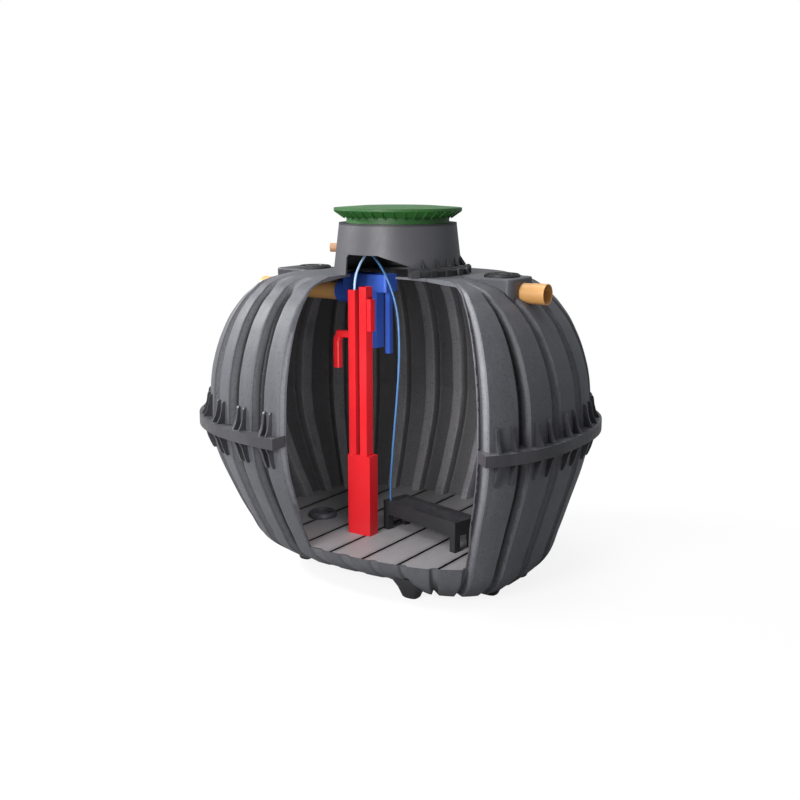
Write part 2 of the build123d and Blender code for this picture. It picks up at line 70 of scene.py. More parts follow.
# the nodes of one material or of the world
class Paint:
    def __init__(self, holder):
        holder.use_nodes = True
        self.tree = holder.node_tree
        self.tree.nodes.clear()

    def node(self, kind, settings=None, sockets=None, out=0):
        made = self.tree.nodes.new("ShaderNode" + kind)
        for key, value in (settings or {}).items():
            setattr(made, key, value)
        for spot, value in (sockets or {}).items():
            socket = made.inputs[spot]
            if isinstance(value, Wire):
                self.tree.links.new(value.socket, socket)
            elif isinstance(value, tuple) and len(socket.default_value) == 4:
                socket.default_value = (*value, 1.0)
            else:
                socket.default_value = value
        return Wire(self, made.outputs[out]) if len(made.outputs) else None

    def noise(self, size, detail=3.0, drawn=None):
        # patches of a size in metres, drawn out along an axis whose scale is under 1
        place = self.node("NewGeometry", out="Position")
        if drawn:
            place = self.node("Mapping", sockets=dict(Vector=place, Scale=drawn))
        return self.node("TexNoise", sockets=dict(Vector=place, Scale=1 / size, Detail=detail))

    def axis(self, vector, name):
        # X, Y or Z of the Position or of the Normal
        return self.node("SeparateXYZ", sockets=dict(Vector=self.node("NewGeometry", out=vector)), out=name)

    def stored(self, name):
        return self.node("Attribute", dict(attribute_name=name), out=2)  # output 2 is the plain number

    def blend(self, share, first, second):
        # sockets 0, 6 and 7 of the node are its factor and its two colours, output 2 the mixed colour
        return self.node("Mix", dict(data_type="RGBA"), {0: share, 6: first, 7: second}, out=2)

    def plastic(self, look, colour, rough, height):
        normal = self.node("Bump", sockets=dict(Strength=look["bump"], Distance=look["depth"], Height=height))
        shader = self.node("BsdfPrincipled", sockets={
            "Base Color": colour, "Roughness": rough, "Specular IOR Level": look["shine"], "Normal": normal})
        self.node("OutputMaterial", sockets=dict(Surface=shader))


# moulded plastic with slow colour drift, fine grain and pale dust on what faces up
plastics = {
    "shell": dict(colour=(0.058, 0.059, 0.068), dust=(0.115, 0.115, 0.13), rough=0.42, grain=0.004),
    "neck": dict(colour=(0.045, 0.045, 0.050), dust=(0.09, 0.09, 0.10), rough=0.46, grain=0.004),
    "black": dict(colour=(0.016, 0.016, 0.018), dust=(0.06, 0.06, 0.065), rough=0.5, grain=0.003),
    "rim": dict(colour=(0.030, 0.030, 0.034), dust=(0.17, 0.17, 0.185), rough=0.42, grain=0.004),
    "pad_left": dict(colour=(0.022, 0.022, 0.026), dust=(0.085, 0.085, 0.092), rough=0.5, grain=0.004),
    # feet: painted shade, a darker copy of the shell plastic because the lobes sit in shade under the tank
    "feet": dict(colour=(0.016, 0.016, 0.018), dust=(0.045, 0.045, 0.05), rough=0.5, grain=0.004),
    "pipe": dict(colour=(0.54, 0.28, 0.095), dust=(0.6, 0.4, 0.22), rough=0.36, grain=0.006),
    "stub": dict(colour=(0.42, 0.22, 0.12), dust=(0.5, 0.36, 0.25), rough=0.5, grain=0.004),
    "green": dict(colour=(0.014, 0.078, 0.013), dust=(0.05, 0.14, 0.04), rough=0.48, grain=0.004),
    "blue": dict(colour=(0.035, 0.1, 0.48), dust=(0.09, 0.17, 0.55), rough=0.4, grain=0.004),
    "red": dict(colour=(0.50, 0.008, 0.013), dust=(0.6, 0.055, 0.06), rough=0.42, grain=0.004),
    "membrane": dict(colour=(0.022, 0.022, 0.026), dust=(0.06, 0.06, 0.065), rough=0.62, grain=0.002),
    "hose_blue": dict(colour=(0.045, 0.125, 0.27), dust=(0.1, 0.2, 0.36), rough=0.35, grain=0.003),
    "hose_pale": dict(colour=(0.34, 0.5, 0.72), dust=(0.45, 0.58, 0.76), rough=0.35, grain=0.003),
}
# what all of them share: sizes of the patches in metres, shares of dust, and relief
everyPlastic = dict(drift=0.35, mottle=0.045, scuff=0.012, dusty=0.55, drifting=0.22, scuffed=0.18,
                    bump=0.35, depth=0.0018, shine=0.4)


def plainPlastic(name, look):
    look = {**everyPlastic, **look}
    material = bpy.data.materials.new(name)
    paint = Paint(material)
    drift = paint.noise(look["drift"], 4.0)
    mottle = paint.noise(look["mottle"])
    grain = paint.noise(look["grain"], 2.0)
    onTop = paint.axis("Normal", "Z").above(0.35, 0.6) * mottle.above(0.35, 0.4)
    settled = (onTop * look["dusty"] + drift.above(0.45, 0.4) * look["drifting"]).clamp()
    colour = paint.blend(settled, look["colour"], look["dust"])
    scuff = paint.noise(look["scuff"], 5.0).above(0.62, 0.12)
    colour = paint.blend(scuff * look["scuffed"], colour, look["dust"])
    rough = look["rough"] + mottle * 0.14 - 0.07 + scuff * 0.1
    paint.plastic(look, colour, rough, grain * 0.9 + mottle * 0.6 + drift * 0.6)
    return material


looks = {name: plainPlastic(name, look) for name, look in plastics.items()}

# skin of the shells: painted shade in the grooves, a painted highlight along the edges of the crests that
# also stands for rubbed wear, and inside walls painted paler to stand in for light; the last row of values
# holds sizes in metres
ribbed = dict(
    colour=(0.066, 0.067, 0.076), dust=(0.115, 0.116, 0.13), deep=(0.013, 0.013, 0.016), paintedGrooveShade=0.9,
    highlightAndWear=(0.2, 0.2, 0.215), highlightAndRub=0.55, dusty=0.5, drifting=0.3, streaked=0.3, scuffed=0.4, pitted=0.42,
    rough=0.55, bump=0.45, depth=0.0025, shine=0.32,
    # painted light: the two colours that make the inside walls paler than the outside
    insideLitLow=(0.075, 0.072, 0.076), insideLitHigh=(0.19, 0.185, 0.195),
    drift=0.45, mottle=0.05, grain=0.0035, streak=0.06, pebble=0.009, scuff=0.012, pit=0.007,
)


def ribbedPlastic(name, look):
    material = bpy.data.materials.new(name)
    paint = Paint(material)
    groove = paint.stored("groove")
    edge = (groove * (1 - groove) * 4).clamp()
    drift = paint.noise(look["drift"], 4.0)
    mottle = paint.noise(look["mottle"])
    grain = paint.noise(look["grain"], 2.0)
    streak = paint.noise(look["streak"], 4.0, drawn=(1.0, 1.0, 0.12))
    onTop = paint.axis("Normal", "Z").above(0.3, 0.7) * mottle.above(0.35, 0.4)
    settled = (onTop * look["dusty"] + drift.above(0.45, 0.4) * look["drifting"]
               + streak.above(0.5, 0.3) * look["streaked"]).clamp()
    colour = paint.blend(settled, look["colour"], look["dust"])
    # painted shade: the grooves are darkened towards the deep colour, which also colours the pits
    colour = paint.blend(groove.above(0.25, 0.65) * look["paintedGrooveShade"], colour, look["deep"])
    # painted light: the inside walls are painted paler than the outside, palest on the inner crests, standing
    # in for light through the open front
    insideLit = paint.blend(groove * 0.9 + mottle * 0.2 - 0.1, look["insideLitLow"], look["insideLitHigh"])
    insideLit = paint.blend(streak.above(0.48, 0.2) * 0.35, insideLit, look["insideLitLow"])
    # painted highlight: the edges of the crests are painted paler, which also stands for rubbed wear
    highlitAndRubbed = edge.above(0.45, 0.5) * (mottle * 0.6 + 0.4) * look["highlightAndRub"]
    colour = paint.blend(highlitAndRubbed, colour, look["highlightAndWear"])
    colour = paint.blend(paint.stored("inside"), colour, insideLit)
    scuff = paint.noise(look["scuff"], 5.0).above(0.58, 0.14)
    colour = paint.blend(scuff * look["scuffed"], colour, look["dust"])
    pits = paint.noise(look["pit"], 4.0, drawn=(1.0, 1.0, 0.6)).above(0.56, 0.1)
    colour = paint.blend(pits * look["pitted"], colour, look["deep"])
    rough = look["rough"] + mottle * 0.14 - 0.07 + scuff * 0.1
    pebbles = paint.noise(look["pebble"])
    height = grain * 0.8 + pebbles * 0.7 + mottle * 0.6 + streak * 0.6 + drift * 0.6
    paint.plastic(look, colour, rough, height)
    return material


looks["ribbed"] = ribbedPlastic("ribbed", ribbed)

# floor boards with painted shade in the grooves between them and dirt gathered beside the grooves;
# the last row of values holds sizes in metres
planks = dict(
    # deep colours both the dirt beside the grooves and the painted shade in them
    colour=(0.2, 0.192, 0.198), dust=(0.3, 0.29, 0.3), deep=(0.012, 0.012, 0.013), dirty=0.55,
    rough=0.5, bump=0.3, depth=0.002, shine=0.45,
    pitch=0.208, groove=0.0075, edge=0.003, dirt=0.03, mottle=0.05, fine=0.004, brushed=0.02,
)


def plankPlastic(name, look):
    material = bpy.data.materials.new(name)
    paint = Paint(material)
    mottle = paint.noise(look["mottle"], 4.0)
    fine = paint.noise(look["fine"], 2.0)
    brushed = paint.noise(look["brushed"], 5.0, drawn=(1.0, 0.12, 1.0))
    along = (paint.axis("Position", "X") / look["pitch"] + 0.5).fract()
    away = abs(along - 0.5) * look["pitch"]  # distance from the middle of the nearest groove
    groove = 1 - away.above(look["groove"], look["edge"])
    dirt = (1 - away.above(look["groove"], look["dirt"])) * mottle.above(0.3, 0.4)
    colour = paint.blend(mottle * 0.6 + brushed * 0.5 - 0.1, look["colour"], look["dust"])
    colour = paint.blend(dirt * look["dirty"], colour, look["deep"])
    # painted shade: the grooves between the boards are filled with the deep colour
    colour = paint.blend(groove, colour, look["deep"])
    rough = look["rough"] + mottle * 0.16 - 0.08
    paint.plastic(look, colour, rough, fine * 0.4 + brushed * 0.8 + mottle * 0.6)
    return material


looks["floor"] = plankPlastic("floor_boards", planks)
print("materials made", len(looks))

slots = {part["node"]: part["material_slot"] for part in frame["record"]["subparts"]}
for name, obj in frame["nodes"].items():
    obj.data.materials.clear()
    kind = "rim" if name.startswith(("rim_upper", "rim_lower", "gussets")) else name
    obj.data.materials.append(looks[kind if kind in looks else slots[name]])


def meshObject(name, points, faces):
    # a mesh whose faces all look outwards
    mesh = bpy.data.meshes.new(name)
    mesh.from_pydata([tuple(point) for point in points], [], faces)
    bm = bmesh.new()
    bm.from_mesh(mesh)
    bmesh.ops.recalc_face_normals(bm, faces=bm.faces)
    bm.to_mesh(mesh)
    bm.free()
    obj = bpy.data.objects.new(name, mesh)
    scene.collection.objects.link(obj)
    return obj


def dress(obj, look, angle):
    # one material, and smooth faces with sharp edges where they turn by more than the angle
    bm = bmesh.new()
    bm.from_mesh(obj.data)
    for face in bm.faces:
        face.smooth = True
    for edge in bm.edges:
        edge.smooth = len(edge.link_faces) == 2 and edge.calc_face_angle(0) < math.radians(angle)
    bm.to_mesh(obj.data)
    bm.free()
    obj.data.materials.clear()
    obj.data.materials.append(looks[look])


def gridFaces(rows, columns, base=0, joined=False):
    # quads over rows of points that each run round; joined rows meet again, others are capped
    steps = [(i, (i + 1) % rows) for i in range(rows if joined else rows - 1)]
    faces = [(base + i * columns + k, base + i * columns + (k + 1) % columns,
              base + j * columns + (k + 1) % columns, base + j * columns + k)
             for i, j in steps for k in range(columns)]
    if not joined:
        faces += [tuple(base + row * columns + k for k in range(columns)) for row in (0, rows - 1)]
    return faces


def turns(count):
    return np.arange(count) * 2 * np.pi / count


def outAndOver(angle):
    # level directions away from an upright axis and across that
    return Vector((math.cos(angle), math.sin(angle), 0)), Vector((-math.sin(angle), math.cos(angle), 0))


def spun(profile, middle, sides):
    # points of a profile of radius and height, turned about an upright axis
    x, y, z = middle
    return [(x + radius * math.cos(a), y + radius * math.sin(a), z + height)
            for radius, height in profile for a in turns(sides)]


def prismTool(outline, low, high):
    # upright tool with the given plan outline
    points = [(x, y, z) for z in (low, high) for x, y in outline]
    return meshObject("tool", points, gridFaces(2, len(outline)))


def barTool(radius, x0, x1, z, sides=64):
    # round tool along X
    points = [(x, radius * math.cos(a), z + radius * math.sin(a)) for x in (x0, x1) for a in turns(sides)]
    return meshObject("tool", points, gridFaces(2, sides))


def cutWith(obj, tools):
    # take the tools out of the piece and delete them
    for tool in tools:
        step = obj.modifiers.new("cut", "BOOLEAN")
        step.operation = "DIFFERENCE"
        step.solver = "EXACT"
        step.object = tool
    shown = obj.evaluated_get(bpy.context.evaluated_depsgraph_get())
    mesh = bpy.data.meshes.new_from_object(shown)
    obj.modifiers.clear()
    obj.data = mesh
    for tool in tools:
        bpy.data.objects.remove(tool)


# the corrugated shells, smooth and closed, around the same plan line and levels as the CAD
shell = dict(
    length=2.280, width=1.904, seam=0.876, crown=1.700, bottom=0.090, reach=0.058, power=2.52,
    ribs=28, depth=0.058, crestStart=0.25, crestEnd=0.75, slope=0.10, spread=0.14, wall=0.012,
    neckHole=0.300, bottomHole=0.05, endPower=2.5, perRib=30, rows=44, crowding=0.8, smooth=38,
)
# share of the height, how far the wall has drawn in, share of the rib depth
levels = {
    "upper": ((0.00, 0.000, 1.0), (0.40, 0.027, 1.0), (0.60, 0.073, 1.0), (0.76, 0.135, 0.95),
              (0.88, 0.215, 0.86), (0.97, 0.330, 0.42), (1.00, 0.430, 0.0)),
    "lower": ((0.00, 0.000, 1.0), (0.22, 0.028, 1.0), (0.45, 0.095, 1.0), (0.72, 0.195, 1.0),
              (0.90, 0.285, 1.0), (1.00, 0.400, 0.7)),
}
endDraw = {"upper": (0.45, 0.30), "lower": (0.20, -0.25)}  # further drawn in at the inlet and the outlet end
broader = dict(share=0.08, start=-0.1, over=0.4)  # how the crests broaden along x, towards the outlet
# shallow ribs on the low wall under the open front: first, last and fade count ribs, start and over
# are shares of the height; the bottom hangs lower under the outlet end, most on the crests
sill = dict(shallower=0.78, first=20.3, last=26.4, fade=0.6, start=0.5, over=0.2)
sag = dict(depth=0.058, x=0.40, overX=0.30, start=0.5, over=0.45, groove=0.45)


def planLine(samples=2880):
    # superellipse round the tank: points, outward normals and length run so far
    a = shell["length"] / 2 - shell["reach"]
    b = shell["width"] / 2 - shell["reach"]
    power = shell["power"]
    angle = np.linspace(0, 2 * np.pi, samples + 1)
    x = a * np.abs(np.cos(angle)) ** (2 / power) * np.sign(np.cos(angle))
    y = b * np.abs(np.sin(angle)) ** (2 / power) * np.sign(np.sin(angle))
    nx = np.abs(x / a) ** (power - 1) / a * np.sign(x)
    ny = np.abs(y / b) ** (power - 1) / b * np.sign(y)
    size = np.hypot(nx, ny)
    run = np.concatenate([[0], np.cumsum(np.hypot(np.diff(x), np.diff(y)))])
    return x, y, nx / size, ny / size, run


def roundTheTank(places):
    # points and normals at places counted in ribs, rib 0 in the middle of the right end
    share = (np.asarray(places) - 0.5) / shell["ribs"]
    share = (share + shell["spread"] * np.sin(4 * np.pi * share) / (4 * np.pi)) % 1
    x, y, nx, ny, run = planLine()
    return [np.interp(share * run[-1], run, values) for values in (x, y, nx, ny)]


def smoothStep(values):
    t = np.clip(values, 0, 1)
    return t * t * (3 - 2 * t)


def ribDepth(places, x):
    # 0 on a crest, 1 in a groove, rounded between
    t = places % 1
    broad = broader["share"] * smoothStep((x - broader["start"]) / broader["over"])
    up = smoothStep((t - shell["crestStart"] + broad + shell["slope"]) / shell["slope"])
    down = smoothStep((t - shell["crestEnd"] - broad) / shell["slope"])
    return 1 - up + down


def levelAt(half, share, column):
    # smooth curve through the levels
    s = np.array([level[0] for level in levels[half]])
    v = np.array([level[column] for level in levels[half]])
    tangent = np.gradient(v, s)
    i = min(np.searchsorted(s, share, side="right") - 1, len(s) - 2)
    h = s[i + 1] - s[i]
    t = (share - s[i]) / h
    return ((2 * t**3 - 3 * t**2 + 1) * v[i] + (t**3 - 2 * t**2 + t) * h * tangent[i]
            + (3 * t**2 - 2 * t**3) * v[i + 1] + (t**3 - t**2) * h * tangent[i + 1])


def leanAt(half, share, rise, step=0.02):
    # how fast the wall draws in with height
    low, high = max(share - step, 0), min(share + step, 1)
    return (levelAt(half, high, 1) - levelAt(half, low, 1)) / (abs(rise) * (high - low))


def shellRows(half, inside):
    # rows of points from the seam to the middle, on the outside or the inside
    way, end = (1, shell["crown"]) if half == "upper" else (-1, shell["bottom"])
    rise = end - shell["seam"]
    places = np.arange(shell["ribs"] * shell["perRib"]) / shell["perRib"]
    x, y, nx, ny = roundTheTank(places)
    deep = ribDepth(places, x)
    further = np.where(nx < 0, *endDraw[half]) * np.abs(nx) ** shell["endPower"]
    front = (smoothStep((places - sill["first"]) / sill["fade"])
             * smoothStep((sill["last"] - places) / sill["fade"]))
    rows, depths = [], []
    for share in np.linspace(0, 1, shell["rows"]) ** shell["crowding"]:
        groove = deep * np.clip(levelAt(half, share, 2), 0, 1)
        hang = np.zeros_like(x)
        if half == "lower":
            low = smoothStep((share - sill["start"]) / sill["over"])
            groove = groove * (1 - sill["shallower"] * front * low)
            hang = (sag["depth"] * smoothStep((x - sag["x"]) / sag["overX"])
                    * smoothStep((share - sag["start"]) / sag["over"]) * (1 - sag["groove"] * deep))
        inward = levelAt(half, share, 1) * (1 + further) + groove * shell["depth"]
        z = shell["seam"] + share * rise
        if inside:
            lean = leanAt(half, share, rise)
            thick = shell["wall"] / math.sqrt(1 + lean**2)
            inward = inward + thick
            z -= thick * lean * way
        depths.append(groove)
        rows.append(np.stack([x - nx * inward, y - ny * inward, z - hang], 1))
    edge = rows[-1][0, 2]
    if inside:
        edge = end - shell["wall"] * way
        kept = [i for i, row in enumerate(rows) if (edge - row[0, 2]) * way > 0]
        rows, depths = [rows[i] for i in kept], [depths[i] for i in kept]
        rows[0][:, 2] = shell["seam"]
    # the flat crown or bottom, down to the neck hole or a small ring
    last = rows[-1]
    radius = shell["neckHole"] if half == "upper" else shell["bottomHole"]
    bearing = np.arctan2(last[:, 1], last[:, 0])
    ring = np.stack([radius * np.cos(bearing), radius * np.sin(bearing), np.full_like(bearing, edge)], 1)
    for share in (0.25, 0.5, 0.75, 1.0):
        row = last + (ring - last) * share
        row[:, 2] = last[:, 2] + (edge - last[:, 2]) * smoothStep(share)
        rows.append(row)
        depths.append(np.zeros(len(row)))
    return rows, depths


def storeOnPoints(obj, name, values):
    layer = obj.data.attributes.new(name, "FLOAT", "POINT")
    layer.data.foreach_set("value", np.asarray(values, dtype=np.float32))


def buildShell(half, name, tools, nodes):
    outer, outerDepth = shellRows(half, False)
    inner, innerDepth = shellRows(half, True)
    inside = [0] * len(outer) + [1] * len(inner)
    if half == "upper":  # a ring round the neck hole
        rows, depths = outer + inner[::-1], outerDepth + innerDepth[::-1]
    else:  # a bowl
        rows, depths = outer[::-1] + inner, outerDepth[::-1] + innerDepth
    around = len(rows[0])
    obj = meshObject(name, np.concatenate(rows), gridFaces(len(rows), around, joined=half == "upper"))
    storeOnPoints(obj, "groove", np.concatenate(depths))
    storeOnPoints(obj, "inside", np.repeat(inside, around))
    cutWith(obj, tools)
    dress(obj, "ribbed", shell["smooth"])
    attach(obj, "root")
    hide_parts(*nodes)
    print(name, len(obj.data.polygons), "faces")


# the cut at the front right, and the holes that grip the pipes
cut = dict(left=-0.135, floor=0.240, cornerX=0.350, cornerY=-0.255, reach=0.420, rib=26.0, grip=0.0533,
           inletHeight=1.571, outletHeight=1.628, far=2.0, beyond=3.0)
far = cut["far"]
endX, endY, endNx, endNy = (float(value) for value in roundTheTank(cut["rib"]))
openSide = [
    (cut["left"], -far), (cut["left"], cut["cornerY"]), (cut["cornerX"], cut["cornerY"]),
    (endX - endNx * cut["reach"], endY - endNy * cut["reach"]),
    (endX + endNx * far, endY + endNy * far), (endX + endNx * far, -cut["beyond"]),
]
buildShell(
    "upper", "shell_upper",
    [prismTool(openSide, cut["floor"], far),
     barTool(cut["grip"], -far, 0, cut["inletHeight"]), barTool(cut["grip"], 0, far, cut["outletHeight"])],
    [name for name in frame["nodes"] if name.startswith("upper_wall_") or name == "crown"],
)
buildShell(
    "lower", "shell_lower",
    [prismTool(openSide, cut["floor"], far)],
    [name for name in frame["nodes"] if name.startswith("lower_wall_") or name == "bottom"],
)

# floor that follows the inside of the dressed lower shell, with the same grooves as the CAD one
floor = dict(top=0.240, thick=0.026, groove=0.013, deep=0.009, over=0.1, count=9, clear=0.0004, smooth=30)
innerRows = np.array(shellRows("lower", True)[0])


def insideRing(z):
    # the inner outline of the lower shell at one height
    for column in range(innerRows.shape[1]):
        px, py, heights = innerRows[::-1, column].T
        order = np.argsort(heights, kind="stable")
        x, y = np.interp(z, heights[order], px[order]), np.interp(z, heights[order], py[order])
        inwards = 1 - floor["clear"] / math.hypot(x, y)
        yield x * inwards, y * inwards, z


points = list(insideRing(floor["top"])) + list(insideRing(floor["top"] - floor["thick"]))
boards = meshObject("floor_boards", points, gridFaces(2, len(points) // 2))
grooves = []
for number in range(floor["count"]):
    middle = (number - (floor["count"] - 1) / 2) * planks["pitch"]
    x0, x1 = middle - floor["groove"] / 2, middle + floor["groove"] / 2
    outline = [(x0, -far), (x1, -far), (x1, far), (x0, far)]
    grooves.append(prismTool(outline, floor["top"] - floor["deep"], floor["top"] + floor["over"]))
cutWith(boards, grooves)
dress(boards, "floor", floor["smooth"])
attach(boards, "root")
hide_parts("floor")
print("floor made")

# gussets with blunt tops, a thick and a thin one on every rib, over and under the flange;
# place, apart, openFrom and openTo count ribs
gusset = dict(thick=0.015, thin=0.007, place=0.31, apart=0.38, least=0.55, flange=0.030, smooth=20,
              openFrom=20, openTo=26.1, openX=-0.155,
              profile=((-0.002, 0.0003), (0.045, 0.0003), (0.042, 0.008), (0.026, 0.036), (0.016, 0.072)),
              tip={"upper": ((0.010, 0.112), (0.004, 0.122), (-0.014, 0.122)),
                   "lower": ((0.000, 0.112), (-0.008, 0.122), (-0.026, 0.122))})
for half, way in (("upper", 1), ("lower", -1)):
    points, faces = [], []
    outline = gusset["profile"] + gusset["tip"][half]
    for rib in range(shell["ribs"]):
        endSide = abs(roundTheTank(rib + 0.5)[2])  # 1 at the ends of the tank, 0 along its sides
        apart = gusset["apart"] * (gusset["least"] + (1 - gusset["least"]) * endSide)
        for beside, thick in ((0, gusset["thick"]), (apart, gusset["thin"])):
            place = rib + gusset["place"] + beside
            x, y, nx, ny = roundTheTank(place)
            if x > gusset["openX"] and gusset["openFrom"] < place < gusset["openTo"]:
                continue  # the flange is cut away here
            faces += gridFaces(2, len(outline), len(points))
            for side in (-thick / 2, thick / 2):
                points += [(x + nx * out - ny * side, y + ny * out + nx * side,
                            shell["seam"] + way * (gusset["flange"] + rise)) for out, rise in outline]
    fins = meshObject("fins_" + half, points, faces)
    dress(fins, "rim", gusset["smooth"])
    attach(fins, "root")
    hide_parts("gussets_" + half)
print("gussets made")

# feet as rounded lobes that grow out of the bottom
# each place holds x, y, length and width, each level a height and its share of the size
feet = dict(places=((0.385, 0.440, 0.150, 0.110), (0.705, 0.165, 0.170, 0.100),
                    (-0.470, 0.280, 0.110, 0.090)),
            levels=((0.0, 0.56), (0.006, 0.66), (0.03, 0.80), (0.06, 1.0), (0.09, 1.3), (0.13, 1.7)),
            sides=48, round=0.7, smooth=40)


def lobePoints(x, y, length, width):
    for z, scale in feet["levels"]:
        for a in turns(feet["sides"]):
            c, s = math.cos(a), math.sin(a)
            yield (x + length / 2 * scale * abs(c) ** feet["round"] * math.copysign(1, c),
                   y + width / 2 * scale * abs(s) ** feet["round"] * math.copysign(1, s), z)


points, faces = [], []
for x, y, length, width in feet["places"]:
    for side in (-1, 1):
        faces += gridFaces(len(feet["levels"]), feet["sides"], len(points))
        points += list(lobePoints(x, y * side, length, width))
lobes = meshObject("feet_lobes", points, faces)
# painted shade: the lobes take the darker feet plastic
dress(lobes, "feet", feet["smooth"])
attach(lobes, "root")
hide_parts("feet")

# raised rings and lugs on the blanking discs
discs = dict(middles=((-0.592, 0, 1.707), (0.665, 0, 1.720)), sides=72, lugs=8, smooth=35,
             lug=((0.053, -0.003), (0.079, -0.003), (0.079, 0.003), (0.053, 0.003)),
             lugHeights=(-0.001, 0.0045),
             profile=((0.088, -0.001), (0.088, 0.004), (0.082, 0.004), (0.080, 0.001), (0.052, 0.001),
                      (0.050, 0.005), (0.044, 0.005), (0.042, 0.001), (0.020, 0.001), (0.018, 0.003),
                      (0.0005, 0.003), (0.0005, -0.001)))
points, faces = [], []
for middle in discs["middles"]:
    faces += gridFaces(len(discs["profile"]), discs["sides"], len(points), joined=True)
    points += spun(discs["profile"], middle, discs["sides"])
    for a in turns(discs["lugs"]):
        along, over = outAndOver(a)
        faces += gridFaces(2, 4, len(points))
        points += [tuple(Vector(middle) + Vector((0, 0, height)) + along * out + over * beside)
                   for height in discs["lugHeights"] for out, beside in discs["lug"]]
discRings = meshObject("disc_rings", points, faces)
dress(discRings, "black", discs["smooth"])
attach(discRings, "root")
print("feet and disc rings made")

# collar round the right half of the neck's foot, with teeth along its edge and small upright ribs;
# the bearings and the widths in the first row and ribClear are in degrees
collar = dict(first=-47.5, last=93.0, fine=1.2, teeth=26, toothHalf=2.3, toothRound=2.7, slack=0.01,
              z=1.700, smooth=30, foot=0.3603, edge=0.398, tooth=0.0135, lip=0.030, toothLip=0.007,
              bevel=(0.006, 0.003),
              slope=((0.386, 0.034), (0.384, 0.040), (0.372, 0.0455), (0.3548, 0.0455)),
              ribHalf=0.0028, ribClear=3,
              rib=((0.3528, 0.0435), (0.3828, 0.0435), (0.3768, 0.0515), (0.3488, 0.0935)))
pitch = 360 / collar["teeth"]
teeth = range(math.floor(collar["first"] / pitch), math.ceil(collar["last"] / pitch) + 1)
bearings = set(np.arange(collar["first"], collar["last"], collar["fine"])) | {collar["last"]}
for side in (-collar["toothRound"], -collar["toothHalf"], collar["toothHalf"], collar["toothRound"]):
    bearings |= {number * pitch + side for number in teeth
                 if collar["first"] < number * pitch + side < collar["last"]}
points = []
for bearing in sorted(bearings):
    off = abs((bearing + pitch / 2) % pitch - pitch / 2)
    tooth = 1 if off <= collar["toothHalf"] + collar["slack"] else 0
    edge = collar["edge"] + collar["tooth"] * tooth
    lip = collar["lip"] + collar["toothLip"] * tooth
    a = math.radians(bearing)
    section = ((collar["foot"], 0), (edge, 0), (edge, lip),
               (edge - collar["bevel"][0], lip + collar["bevel"][1])) + collar["slope"]
    points += [(radius * math.cos(a), radius * math.sin(a), collar["z"] + height)
               for radius, height in section]
faces = gridFaces(len(bearings), len(section))
for number in teeth:
    bearing = (number + 0.5) * pitch
    if collar["first"] + collar["ribClear"] < bearing < collar["last"] - collar["ribClear"]:
        out, over = outAndOver(math.radians(bearing))
        faces += gridFaces(2, 4, len(points))
        points += [tuple(out * radius + over * side + Vector((0, 0, collar["z"] + height)))
                   for side in (-collar["ribHalf"], collar["ribHalf"]) for radius, height in collar["rib"]]
toothed = meshObject("toothed_collar", points, faces)
dress(toothed, "black", collar["smooth"])
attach(toothed, "root")
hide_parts("collar")

# ring boss on the floor at the inlet side
boss = dict(middle=(-0.430, -0.166, 0.240), sides=64, smooth=35,
            profile=((0.086, -0.001), (0.086, 0.010), (0.080, 0.024), (0.072, 0.030), (0.062, 0.030),
                     (0.056, 0.024), (0.054, 0.004), (0.0005, 0.004), (0.0005, -0.001)))
points = spun(boss["profile"], boss["middle"], boss["sides"])
ringBoss = meshObject("floor_boss", points, gridFaces(len(boss["profile"]), boss["sides"], joined=True))
dress(ringBoss, "shell", boss["smooth"])
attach(ringBoss, "root")
print("collar and floor boss made")

# hoses, along the same points as the CAD ones
stub = dict(bearing=205, height=1.832, plug=0.030, neckFoot=0.328, neckDraw=0.032, neckTop=1.965,
            neckTall=0.265)
plate = dict(x=0.310, y=-0.146, turn=-14, high=0.410, end=(-0.2588, -0.059))
hoseSize = dict(diameter=0.013, beside=0.009, straight=0.110, dropIn=0.090, liftIn=0.065)
outward, over = outAndOver(math.radians(stub["bearing"]))
inward, across = -outward, -over
neckRadius = stub["neckFoot"] + stub["neckDraw"] * (stub["neckTop"] - stub["height"]) / stub["neckTall"]
plugFace = outward * (neckRadius - stub["plug"]) + Vector((0, 0, stub["height"]))
turned = math.radians(plate["turn"])
along, aside = plate["end"]
airEnd = Vector((plate["x"] + along * math.cos(turned) - aside * math.sin(turned),
                 plate["y"] + along * math.sin(turned) + aside * math.cos(turned), plate["high"]))
liftEnd = Vector((-0.089, -0.290, 1.620))
airStart = plugFace + across * hoseSize["beside"]
liftStart = plugFace - across * hoseSize["beside"]
hoses = {
    "air_hose": dict(slot="hose_blue", length=1.729, start=airStart, route=[
        airStart + inward * hoseSize["straight"], (-0.085, -0.135, 1.805), (0.025, -0.190, 1.738),
        (0.098, -0.205, 1.628), (0.138, -0.205, 1.500), (0.149, -0.205, 1.350), (0.146, -0.205, 1.200),
        (0.133, -0.203, 1.050), (0.116, -0.198, 0.900), (0.096, -0.190, 0.750), (0.072, -0.172, 0.600),
        airEnd + Vector((0, 0, hoseSize["dropIn"])), airEnd]),
    "airlift_hose": dict(slot="hose_pale", length=0.456, start=liftStart, route=[
        liftStart + inward * hoseSize["straight"], (-0.100, -0.150, 1.815), (-0.084, -0.240, 1.765),
        liftEnd + Vector((0, 0, hoseSize["liftIn"])), liftEnd]),
}
for name, hose in hoses.items():
    curve = bpy.data.curves.new(name + "_line", "CURVE")
    curve.dimensions = "3D"
    spline = curve.splines.new("NURBS")
    points = [hose["start"]] + [Vector(point) for point in hose["route"]]
    spline.points.add(len(points) - 1)
    for spot, point in zip(spline.points, points):
        spot.co = (*point, 1)
    spline.order_u = 3
    spline.use_endpoint_u = True
    spline.resolution_u = 10
    curve.bevel_depth = hoseSize["diameter"] / 2
    curve.bevel_resolution = 5
    curve.materials.append(looks[hose["slot"]])
    obj = bpy.data.objects.new(name + "_line", curve)
    scene.collection.objects.link(obj)
    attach(obj, "root")
    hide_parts(name)
print("hoses made", len(hoses))

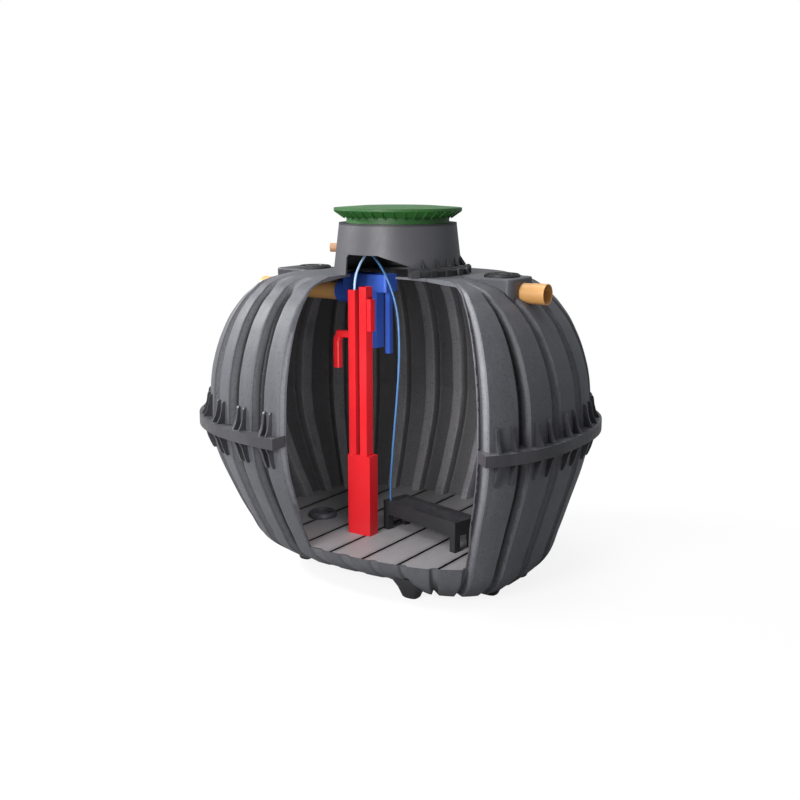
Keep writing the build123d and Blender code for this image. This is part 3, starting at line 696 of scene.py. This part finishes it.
# camera as found from the photo, which is 800 pixels wide
shot = dict(turn=34.0, tilt=11.7, away=6.190, height=2.247, aside=0.012, pixels=1100, wide=800, sensor=36,
            clip=200)
camera = bpy.data.objects.new("camera", bpy.data.cameras.new("camera"))
scene.collection.objects.link(camera)
scene.camera = camera
camera.data.sensor_width = shot["sensor"]
camera.data.lens = shot["pixels"] / shot["wide"] * shot["sensor"]
camera.data.clip_end = shot["clip"]
turn = math.radians(shot["turn"])
right, forward = outAndOver(turn)
camera.location = -forward * shot["away"] + right * shot["aside"] + Vector((0, 0, shot["height"]))
camera.rotation_euler = (math.radians(90 - shot["tilt"]), 0, turn)

# studio: white floor that melts into a white world, with a faint shadow left on it
studio = dict(half=60, lit=(0.42, 0.42, 0.42), seen=(0.9, 0.9, 0.9), glow=0.86, near=1.0, over=2.6,
              sky=(1.0, 1.0, 1.0), soft=(0.95, 0.97, 1.0), softPower=0.5)
corners = [(x * studio["half"], y * studio["half"], 0) for x, y in ((-1, -1), (1, -1), (1, 1), (-1, 1))]
studioMesh = bpy.data.meshes.new("studio_floor")
studioMesh.from_pydata(corners, [], [(0, 1, 2, 3)])
studioFloor = bpy.data.objects.new("studio_floor", studioMesh)
scene.collection.objects.link(studioFloor)
material = bpy.data.materials.new("studio_floor")
paint = Paint(material)
fromCamera = paint.node("LightPath", out="Is Camera Ray")
away = paint.node("VectorMath", dict(operation="LENGTH"), {0: paint.node("NewGeometry", out="Position")},
                  out="Value")
share = fromCamera * (away.above(studio["near"], studio["over"]) * (1 - studio["glow"]) + studio["glow"])
matt = paint.node("BsdfDiffuse", sockets=dict(Color=paint.blend(fromCamera, studio["lit"], studio["seen"])))
bright = paint.node("Emission", sockets=dict(Strength=1.0))
merged = paint.node("MixShader", sockets={0: share, 1: matt, 2: bright})
paint.node("OutputMaterial", sockets=dict(Surface=merged))
studioMesh.materials.append(material)

world = bpy.data.worlds.new("studio")
scene.world = world
paint = Paint(world)
soft = paint.node("Background", sockets=dict(Color=studio["soft"], Strength=studio["softPower"]))
plain = paint.node("Background", sockets=dict(Color=studio["sky"], Strength=1.0))
fromCamera = paint.node("LightPath", out="Is Camera Ray")
merged = paint.node("MixShader", sockets={0: fromCamera, 1: soft, 2: plain})
paint.node("OutputWorld", sockets=dict(Surface=merged))

middleOfPart = (0, 0, 0.95)
lamps = {
    "key": dict(at=(-5.4, -2.2, 4.6), size=1.6, power=640, aim=middleOfPart),
    "front": dict(at=(0.2, -6.6, 3.2), size=2.4, power=480, aim=middleOfPart),
    "top": dict(at=(0.3, 0.3, 5.5), size=3.0, power=110, aim=middleOfPart),
    "inner": dict(at=(0.55, -0.95, 1.25), size=0.5, power=9.5, aim=(-0.45, 0.45, 0.75)),
}
for name, lamp in lamps.items():
    light = bpy.data.lights.new(name, "AREA")
    light.size = lamp["size"]
    light.energy = lamp["power"]
    obj = bpy.data.objects.new(name, light)
    scene.collection.objects.link(obj)
    obj.location = lamp["at"]
    obj.rotation_euler = (Vector(lamp["aim"]) - Vector(lamp["at"])).to_track_quat("-Z", "Y").to_euler()
scene.view_settings.view_transform = "Standard"
print("camera and lights set")
